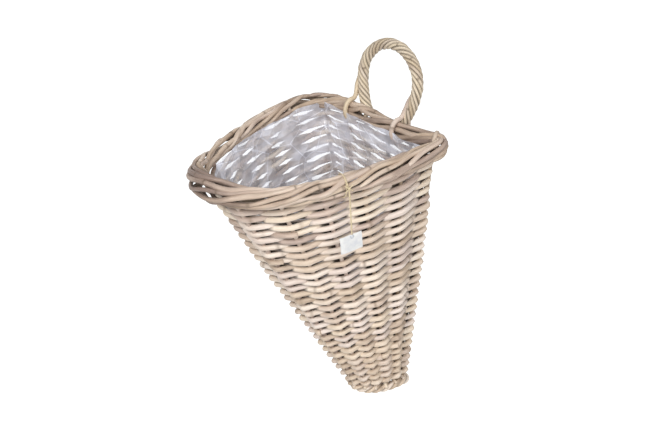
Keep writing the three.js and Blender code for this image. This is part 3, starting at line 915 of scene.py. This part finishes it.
# The CAD ring has six strands, so the last node holds two of the seven rods.
for k in range(RING_STRANDS - 1):
    rods = [ring_rod(k / RING_STRANDS + chance.uniform(-RING_SLIP, RING_SLIP), RING_LAY_RADIUS,
                     RING_STRAND_RADIUS * chance.uniform(*RING_GRADES))]
    if k == RING_STRANDS - 2:
        rods.append(ring_rod((k + 1) / RING_STRANDS, RING_LAY_RADIUS, RING_STRAND_RADIUS))
    strand = rod_mesh(f"ring_rod_{k + 1}", rods, ring_rattan)
    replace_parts(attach(strand, "basket"), f"ring_strand_{k + 1}")
print("ring of", RING_STRANDS, "rods round a core")

# %% [markdown]
# ## Lashings
# At each foot one rod leaves the ring, crosses to the left, goes over the border, down its
# inside and under it, and comes back up behind the leg. That is what ties the ring on.

# %% Helpers for paths through given points
def spline(points, count):
    """A smooth path through given points."""
    points = np.asarray(points, float)
    knots = run_length(points)
    tangents = np.gradient(points, knots, axis=0)
    at = np.linspace(0, knots[-1], count)
    i = np.clip(np.searchsorted(knots, at, "right") - 1, 0, len(points) - 2)
    h = (knots[i + 1] - knots[i])[:, None]
    t = ((at - knots[i])[:, None]) / h
    return ((2 * t ** 3 - 3 * t ** 2 + 1) * points[i] + (t ** 3 - 2 * t ** 2 + t) * h * tangents[i]
            + (3 * t ** 2 - 2 * t ** 3) * points[i + 1] + (t ** 3 - t ** 2) * h * tangents[i + 1])


def leg_x(height):
    """How far from the middle a leg of the ring is."""
    return RING_HALF_WIDTH - RING_LEG_DRAW * (1 - min(height / RING_LEG, 1)) ** 2


def beside(height, offset_x, offset_out):
    """A point near the ring, by its height on the leaning leg."""
    base_point = np.array([0, RING_FOOT_Y, RING_FOOT_Z])
    return base_point + lean_up * height + lean_out * offset_out + np.array([offset_x, 0, 0])


print("a leg's foot is", leg_x(0), "mm from the middle")

# %% Wrap the lashings
BAND_RADIUS = 3.5
BAND_SHIFTS = {-1: 8, 1: 0}
BAND_START = 21
BAND_STEPS = 90
BAND_CLEAR = 1
BAND_DEGREES = (75, 100, 130, 165, 200, 235, 270, 305, 335)

outer = BORDER_OUT + BAND_RADIUS + BAND_CLEAR
tall = BORDER_UP + BAND_RADIUS + BAND_CLEAR
for side, word in ((-1, "left"), (1, "right")):
    foot_x = side * leg_x(0)
    x = foot_x - BAND_SHIFTS[side]
    # The path's points are listed, in millimetres. It starts along the leg.
    points = [beside(BAND_START + 14, side * leg_x(BAND_START + 14) - 1, -3),
              beside(BAND_START, side * leg_x(BAND_START) - 5.5, -4)]
    for degrees in BAND_DEGREES:
        angle = math.radians(degrees)
        points.append((x - 2 + 4 * (degrees - 62) / 273, -BORDER_INSET + outer * math.cos(angle),
                       BORDER_MIDDLE + tall * math.sin(angle)))
    # It ends behind the leg.
    points.append(beside(2, foot_x - 5, 7.5))
    points.append(beside(3, foot_x + 1, 4.0))
    path = spline(points, BAND_STEPS)
    middle = np.array([0.0, -BORDER_INSET, BORDER_MIDDLE])
    away = (path - middle) * (0, 1, 1)
    rods = [sweep(path, BAND_RADIUS, away, tone=0.5)]
    lashing = rod_mesh(f"lashing_rod_{word}", rods, ring_rattan)
    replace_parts(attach(lashing, "basket"), f"lashing_{word}")
print("two lashings")

# %% [markdown]
# ## The film liner
# The liner is an open bag of thin clear polythene, blown and folded, that is tacked under
# the border. It lies loosely against the weave, so the rods show through it as grey bars.
# What the eye sees of the film itself is its haze, the bright lines of its creases and the
# glints on the small flat faces between them. Glass would bend the rods behind it, so the
# haze is drawn as how opaque the film is. Lower down little light comes in, and the haze is drawn
# thinner there, as painted shade.

# %% Make the film's material
CREASE_SPACING = (60, 60, 42)
CREASE_WIDTH = 0.02
CREASE_WHITE = 0.3
HAZE_LOW, HAZE_HIGH = 0.26, 0.62
FOLD_WHITE = 0.15
DEEP_SHARE = 0.35
FACET_DEPTH = 9

film_material, tree = new_material("polythene_film_clear")
geometry = add(tree, "NewGeometry")
crease_scale = tuple(1 / (spacing * MM) for spacing in CREASE_SPACING)
crease_space = add(tree, "VectorMath", {0: geometry.outputs["Position"]}, {1: crease_scale},
                   operation="MULTIPLY").outputs[0]
crease = add(tree, "TexVoronoi", {"Vector": crease_space}, {"Scale": 1, "Randomness": 1},
             feature="DISTANCE_TO_EDGE").outputs["Distance"]
line = add(tree, "MapRange", {0: crease}, {1: 0.0, 2: CREASE_WIDTH, 3: 1.0, 4: 0.0}).outputs[0]
haze = add(tree, "TexNoise", {"Vector": crease_space}, {"Scale": 1.7, "Detail": 3}).outputs["Fac"]
opacity = add(tree, "MapRange", {0: haze}, {1: 0.36, 2: 0.66, 3: HAZE_LOW, 4: HAZE_HIGH}).outputs[0]
opacity = add(tree, "Math", {0: line, 2: opacity}, {1: CREASE_WHITE},
              operation="MULTIPLY_ADD").outputs[0]
height = add(tree, "SeparateXYZ", {0: add(tree, "TexCoord").outputs["Generated"]}).outputs[2]
fold = add(tree, "MapRange", {0: height}, {1: 0.9, 2: 0.98, 3: 0.0, 4: FOLD_WHITE}).outputs[0]
opacity = add(tree, "Math", {0: fold, 1: opacity}, operation="ADD").outputs[0]
# Lower down the haze is drawn thinner, as painted shade.
thin = add(tree, "MapRange", {0: height}, {1: 0.1, 2: 0.6, 3: DEEP_SHARE, 4: 1.0}).outputs[0]
opacity = add(tree, "Math", {0: opacity, 1: thin}, operation="MULTIPLY").outputs[0]
facet = add(tree, "TexVoronoi", {"Vector": crease_space},
            {"Scale": 2.2, "Randomness": 1}).outputs["Distance"]
film_bump = add(tree, "Bump", {"Height": facet}, {"Strength": 0.9, "Distance": FACET_DEPTH * MM})
film_shader = add(tree, "BsdfPrincipled", {"Alpha": opacity, "Normal": film_bump.outputs[0]},
                  {"Base Color": colour("#eef0fb"), "Roughness": 0.14, "IOR": 1.75})
add(tree, "OutputMaterial", {0: film_shader.outputs[0]})
print(film_material.name, "made")

# %% Shape the bag
FILM_TOP = 425
FILM_FLOOR = 22
FILM_ROWS = 60
FILM_COLUMNS = 220
FILM_TOP_INSET = 24
FILM_FOOT_INSET = 21
FILM_HANG = 1.6
FOLD_HEIGHT = 0.9
SWAY_HEIGHT = 1.1
HEM_SWAY = 1.2

grid = []
at = np.arange(FILM_COLUMNS) / FILM_COLUMNS * 2 * math.pi
for t in np.linspace(0, 1, FILM_ROWS):
    inset = mix(FILM_FOOT_INSET, FILM_TOP_INSET, t)
    points, out = around(mix(FILM_FLOOR, FILM_TOP, t), inset, FILM_COLUMNS)[:2]
    # Slow and quick waves in millimetres, which drift as they go up, stand for the folds.
    slack = FOLD_HEIGHT * (np.sin(9 * at + 4 * t) + 0.7 * np.sin(17 * at - 7 * t + 1)
                           + 0.5 * np.sin(31 * at + 11 * t))
    slack += SWAY_HEIGHT * np.sin(5 * at + 13 * t) * np.sin(9 * t)
    points = points - out * (FILM_HANG + slack)[:, None]
    points[:, 2] += HEM_SWAY * np.sin(13 * at + 2) * t
    grid.append(points)
grid = np.stack(grid)
floor_rings = [grid[0] + (grid[0].mean(0) - grid[0]) * k for k in (0.3, 0.6, 0.85)]
grid = np.concatenate([np.stack(floor_rings[::-1]), grid])
index = np.arange(len(grid) * FILM_COLUMNS).reshape(len(grid), FILM_COLUMNS)
low, high = index[:-1], index[1:]
quads = np.stack([low, np.roll(low, -1, 1), np.roll(high, -1, 1), high], -1)
faces = quads.reshape(-1, 4)[:, ::-1].tolist() + [index[0].tolist()]
film = piece("film", row(grid.reshape(-1, 3)).tolist(), faces, film_material)
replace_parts(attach(film, "basket"), "film_liner")

# %% [markdown]
# ## The twine and the tag
# A thin two ply twine is knotted round the border. Its tail hangs straight down the
# outside and holds a small square tag of card by an eyelet. The tag is bare. Twine and tag
# swing about the knot, so they ride on their own body.

# %% Lay the two plies of the twine
thread_low, thread_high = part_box("thread")
thread_place = basket((thread_low + thread_high) / 2)
exit_point = np.array([thread_place[0], thread_place[1], basket(thread_high)[2]])
THREAD_LENGTH = basket(thread_high)[2] - basket(thread_low)[2]
PLY_RADIUS = 0.75
PLY_LAY = 9
PLY_OFFSET = 0.62
TWINE_STEPS = 160
FUZZ_PER_MM = 1.4
KNOT_PULL = 0.6
KNOT_PULL_SHARE = 0.1

twine_material, tree = new_material("jute_twine_pale")
rod = add(tree, "Attribute", attribute_name="rod").outputs["Vector"]
fuzz = add(tree, "TexNoise", {"Vector": rod},
           {"Scale": FUZZ_PER_MM, "Detail": 3}).outputs["Fac"]
twine_colour = ramp(tree, fuzz, ((0.3, "#b3a07f"), (0.55, "#d9c8a6"), (0.8, "#efe4cb")))
twine_bump = add(tree, "Bump", {"Height": fuzz}, {"Strength": 0.6, "Distance": 0.2 * MM})
twine_shader = add(tree, "BsdfPrincipled", {"Base Color": twine_colour,
                   "Normal": twine_bump.outputs[0]}, {"Roughness": 0.85})
add(tree, "OutputMaterial", {0: twine_shader.outputs[0]})

t = np.linspace(0, 1, TWINE_STEPS)
line = exit_point + np.stack([t * 0, t * 0, -t * THREAD_LENGTH], 1)
pull = np.clip(mix(KNOT_PULL, 1, t / KNOT_PULL_SHARE), 0, 1)
twine_rods = []
for phase in (0, math.pi):
    turn = 2 * math.pi * t * THREAD_LENGTH / PLY_LAY + phase
    off = np.stack([np.cos(turn), np.sin(turn), turn * 0], 1) * PLY_RADIUS * PLY_OFFSET
    off = off * pull[:, None]
    twine_rods.append(sweep(line + off, PLY_RADIUS * pull, (1, 0, 0), sides=6, nodes=False))
twine = rod_mesh("twine", twine_rods, twine_material)
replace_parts(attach(twine, "hang_tag"), "thread")
print("twine", round(THREAD_LENGTH, 1), "mm long")

# %% Knot the twine round the border
LOOP_CLEAR = (1.6, 1.2)
LOOP_RADIUS = 0.75
LOOP_STEPS = 72
LOOP_TURNS = ((-1.6, 1.2), (1.2, -1.5))
KNOT_RADIUS = 0.8
KNOT_RISE = 3.0
KNOT_BACK = 0.6
KNOT_LOW, KNOT_HIGH = (5.5, 4), (5, 4.5)
KNOT_BIND = (1.1, 1.6)

loop_low, loop_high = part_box("thread_loop")
loop_middle = basket((loop_low + loop_high) / 2)
out2 = unit(np.array([exit_point[0] - loop_middle[0], exit_point[1] - loop_middle[1], 0.0]))
side2 = np.cross(UP, out2)
knot_rods = []
loop_out = BORDER_OUT + BORDER_RADIUS + LOOP_CLEAR[0]
loop_up = BORDER_UP + BORDER_RADIUS + LOOP_CLEAR[1]
rim_point = np.array([loop_middle[0], loop_middle[1], BORDER_MIDDLE])
# The loop has two turns. Each lies a little to one side and drifts across.
for shift, drift in LOOP_TURNS:
    angle = np.linspace(0, 2 * math.pi, LOOP_STEPS)
    path = (rim_point + out2 * (loop_out * np.cos(angle))[:, None]
            + UP * (loop_up * np.sin(angle))[:, None]
            + side2 * (shift + drift * np.sin(angle))[:, None])
    away = out2 * np.cos(angle)[:, None] + UP * np.sin(angle)[:, None]
    knot_rods.append(sweep(path, LOOP_RADIUS, away, sides=6, nodes=False))
# Two short ends cross in the knot and one small turn binds them.
knot_place = exit_point + UP * KNOT_RISE - out2 * KNOT_BACK
for lean in (-1, 1):
    path = spline([knot_place - side2 * KNOT_LOW[0] * lean - UP * KNOT_LOW[1],
                   knot_place + out2 * KNOT_BACK,
                   knot_place + side2 * KNOT_HIGH[0] * lean + UP * KNOT_HIGH[1]], 16)
    knot_rods.append(sweep(path, LOOP_RADIUS, out2, sides=6, nodes=False))
angle = np.linspace(0, 2 * math.pi, 30)
path = (knot_place + out2 * (np.cos(angle) * KNOT_BIND[0])[:, None]
        + UP * (np.sin(angle) * KNOT_BIND[1])[:, None])
knot_rods.append(sweep(path, KNOT_RADIUS, side2, sides=6, nodes=False))
knot_loop = rod_mesh("twine_loop", knot_rods, twine_material)
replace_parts(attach(knot_loop, "basket"), "thread_loop")
print("knot of", len(knot_rods), "turns and ends")

# %% Make the card and the metal
# The card's shade drifts over about 8 mm. Its fibres are drawn 0.6 mm apart, and the marks of
# the press on the metal 1 mm apart. Both are coarser than real ones, so that they can show.
MOTTLE_PER_MM = 0.12
CARD_FIBRES_PER_MM = 1.6
PRESS_MARKS_PER_METRE = 900

card_material, tree = new_material("tag_card_pearl_white")
card_place = add(tree, "TexCoord").outputs["Object"]
card_space = add(tree, "VectorMath", {0: card_place}, {1: (1 / MM,) * 3},
                 operation="MULTIPLY").outputs[0]
mottle = add(tree, "TexNoise", {"Vector": card_space},
             {"Scale": MOTTLE_PER_MM, "Detail": 3}).outputs["Fac"]
card_colour = ramp(tree, mottle, ((0.3, "#d3d4d7"), (0.6, "#e3e2e0"), (0.8, "#ecebe7")))
fibres = add(tree, "TexNoise", {"Vector": card_space},
             {"Scale": CARD_FIBRES_PER_MM, "Detail": 2}).outputs["Fac"]
card_bump = add(tree, "Bump", {"Height": fibres}, {"Strength": 0.2, "Distance": 0.1 * MM})
card_shader = add(tree, "BsdfPrincipled", {"Base Color": card_colour,
                  "Normal": card_bump.outputs[0]}, {"Roughness": 0.45, "Specular IOR Level": 0.6})
add(tree, "OutputMaterial", {0: card_shader.outputs[0]})
metal_material, tree = new_material("eyelet_aluminium_pressed")
metal_place = add(tree, "TexCoord").outputs["Object"]
press_marks = add(tree, "TexNoise", {"Vector": metal_place},
                  {"Scale": PRESS_MARKS_PER_METRE, "Detail": 2}).outputs["Fac"]
metal_rough = add(tree, "Math", {0: press_marks}, {1: 0.2, 2: 0.25},
                  operation="MULTIPLY_ADD").outputs[0]
metal_shader = add(tree, "BsdfPrincipled", {"Roughness": metal_rough},
                   {"Base Color": colour("#b9bcc0"), "Metallic": 1.0})
add(tree, "OutputMaterial", {0: metal_shader.outputs[0]})
print(card_material.name, "and", metal_material.name)

# %% Press the eyelet
eyelet_low, eyelet_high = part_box("tag_eyelet")
eyelet_middle = basket((eyelet_low + eyelet_high) / 2)
EYELET_RADIUS = (basket(eyelet_high)[2] - basket(eyelet_low)[2]) / 2
EYELET_WIRE = 0.8
EYELET_FLATNESS = 0.8
EYELET_CUTS = 48
WIRE_CUTS = 12
ring_middle_radius = EYELET_RADIUS - EYELET_WIRE
verts = []
for a in np.linspace(0, 2 * math.pi, EYELET_CUTS + 1)[:-1]:
    radial = side2 * math.cos(a) + UP * math.sin(a)
    for b in np.linspace(0, 2 * math.pi, WIRE_CUTS + 1)[:-1]:
        verts.append(eyelet_middle + radial * (ring_middle_radius + EYELET_WIRE * math.cos(b))
                     + out2 * EYELET_WIRE * EYELET_FLATNESS * math.sin(b))
index = np.arange(EYELET_CUTS * WIRE_CUTS).reshape(EYELET_CUTS, WIRE_CUTS)
ahead = np.roll(index, -1, 0)
quads = np.stack([index, ahead, np.roll(ahead, -1, 1), np.roll(index, -1, 1)], -1)
eyelet = piece("eyelet", row(verts).tolist(), quads.reshape(-1, 4).tolist(), metal_material)
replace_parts(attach(eyelet, "hang_tag"), "tag_eyelet")
print("eyelet", round(2 * EYELET_RADIUS, 1), "mm across")

# %% Cut the tag and tie it to the twine
tag_low, tag_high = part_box("tag")
tag_middle = basket((tag_low + tag_high) / 2)
TAG_WIDTH = 31
TAG_HEIGHT = basket(tag_high)[2] - basket(tag_low)[2]
TAG_THICKNESS = 0.45
TAG_SHORTER = 0.92
TAG_CELLS = 24
TAG_FRONT = 0.3
TAG_CURL, CURL_FROM, CURL_SPAN = 1.2, 0.34, 0.16
TAG_BOW = 0.5
TAG_TAB, TAB_FROM, TAB_SPAN, TAB_BACK = 1.1, 0.36, 0.14, 0.6
TAG_RAISE = 7.5
TAG_LEAN = math.radians(10)
TAG_TILT = math.radians(6)
tag_side = side2 * math.cos(TAG_TILT) + UP * math.sin(TAG_TILT)
tag_up = UP * math.cos(TAG_TILT) - side2 * math.sin(TAG_TILT) + out2 * math.sin(TAG_LEAN)
tag_middle = tag_middle + UP * TAG_RAISE - out2 * math.sin(TAG_LEAN) * TAG_HEIGHT / 2
span = np.linspace(-0.5, 0.5, TAG_CELLS + 1)
verts = []
for face in (1, -1):
    for v in span:
        for u in span:
            # One side curls back, the foot bows back and the top bends back a little.
            bow = (-TAG_CURL * max(0, -u - CURL_FROM) / CURL_SPAN
                   - TAG_BOW * (2 * v) ** 2 * (v < 0))
            tab = TAG_TAB * max(0, v - TAB_FROM) / TAB_SPAN
            flat = tag_side * u * TAG_WIDTH + tag_up * v * TAG_HEIGHT * TAG_SHORTER
            verts.append(tag_middle + flat
                         + out2 * (bow - tab * TAB_BACK + face * TAG_THICKNESS / 2 + TAG_FRONT))
n = TAG_CELLS + 1
index = np.arange(2 * n * n).reshape(2, n, n)
front, rear = index
front_corners = [front[:-1, :-1], front[:-1, 1:], front[1:, 1:], front[1:, :-1]]
rear_corners = [rear[:-1, :-1], rear[1:, :-1], rear[1:, 1:], rear[:-1, 1:]]
quads = [np.stack(corners, -1).reshape(-1, 4) for corners in (front_corners, rear_corners)]
loop_front = np.concatenate([front[0, :-1], front[:-1, -1], front[-1, :0:-1], front[:0:-1, 0]])
loop_rear = np.concatenate([rear[0, :-1], rear[:-1, -1], rear[-1, :0:-1], rear[:0:-1, 0]])
quads.append(np.stack([loop_front, loop_rear, np.roll(loop_rear, -1),
                       np.roll(loop_front, -1)], -1))
tag = piece("tag_square", row(verts).tolist(), np.concatenate(quads).tolist(), card_material,
            smooth=False)
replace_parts(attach(tag, "hang_tag"), "tag")
print("tag", TAG_WIDTH, "by", round(TAG_HEIGHT * TAG_SHORTER, 1), "mm")

# %% [markdown]
# ## Floor and light
# The photograph has a plain white ground and soft light from the front. The floor is pale
# and far below, as the basket hangs. It shows white to the camera and to reflections only.

# %% Lay the floor
FLOOR_DROP = 0.55
FLOOR_HALF = 6
FLOOR_GLOW = 0.66


def seen_directly(tree):
    """1 for what the camera sees, also in a reflection or through something clear."""
    ray = add(tree, "LightPath").outputs
    seen = ray["Is Camera Ray"]
    for more in ("Is Glossy Ray", "Is Transmission Ray"):
        seen = add(tree, "Math", {0: seen, 1: ray[more]}, operation="MAXIMUM").outputs[0]
    return seen


stage_material, tree = new_material("floor_matt_white")
white = add(tree, "Emission", inputs={"Color": colour("#ffffff"), "Strength": FLOOR_GLOW})
matt = add(tree, "BsdfDiffuse", inputs={"Color": colour("#f4f4f2")})
both = add(tree, "AddShader", {0: white.outputs[0], 1: matt.outputs[0]})
pick = add(tree, "MixShader", {0: seen_directly(tree), 1: matt.outputs[0], 2: both.outputs[0]})
add(tree, "OutputMaterial", {0: pick.outputs[0]})
floor_z = base_low.z - FLOOR_DROP
floor_corners = [(x * FLOOR_HALF, y * FLOOR_HALF, floor_z)
                 for x, y in ((-1, -1), (1, -1), (1, 1), (-1, 1))]
floor = piece("floor", floor_corners, [(0, 1, 2, 3)], stage_material, smooth=False)
print("floor", round(floor_z, 3), "m up")

# %% Light the scene
AMBIENT_STRENGTH = 0.42

world = bpy.data.worlds.new("studio")
bpy.context.scene.world = world
world.use_nodes = True
tree = world.node_tree
tree.nodes.clear()
ambient = add(tree, "Background", inputs={"Color": (0.93, 0.96, 1, 1),
              "Strength": AMBIENT_STRENGTH})
backdrop = add(tree, "Background", inputs={"Color": (1, 1, 1, 1), "Strength": 1.0})
pick = add(tree, "MixShader", {0: seen_directly(tree), 1: ambient.outputs[0],
           2: backdrop.outputs[0]})
add(tree, "OutputWorld", {0: pick.outputs[0]})


def lamp(name, place, size, power):
    """A square soft lamp that looks at the middle of the basket."""
    data = bpy.data.lights.new(name, "AREA")
    data.energy = power
    data.size = size
    made = bpy.data.objects.new(name, data)
    bpy.context.collection.objects.link(made)
    made.location = aim + Vector(place)
    made.rotation_euler = (-Vector(place)).to_track_quat("-Z", "Y").to_euler()


lamp("key", (0.7, -1.8, 1.7), 0.6, 31)
lamp("fill", (2.0, -0.5, 1.2), 1.4, 26)
lamp("back", (-0.8, 1.5, 1.5), 1.4, 6)
print(len(bpy.data.lights), "lamps")
bpy.context.scene.view_settings.view_transform = "Standard"
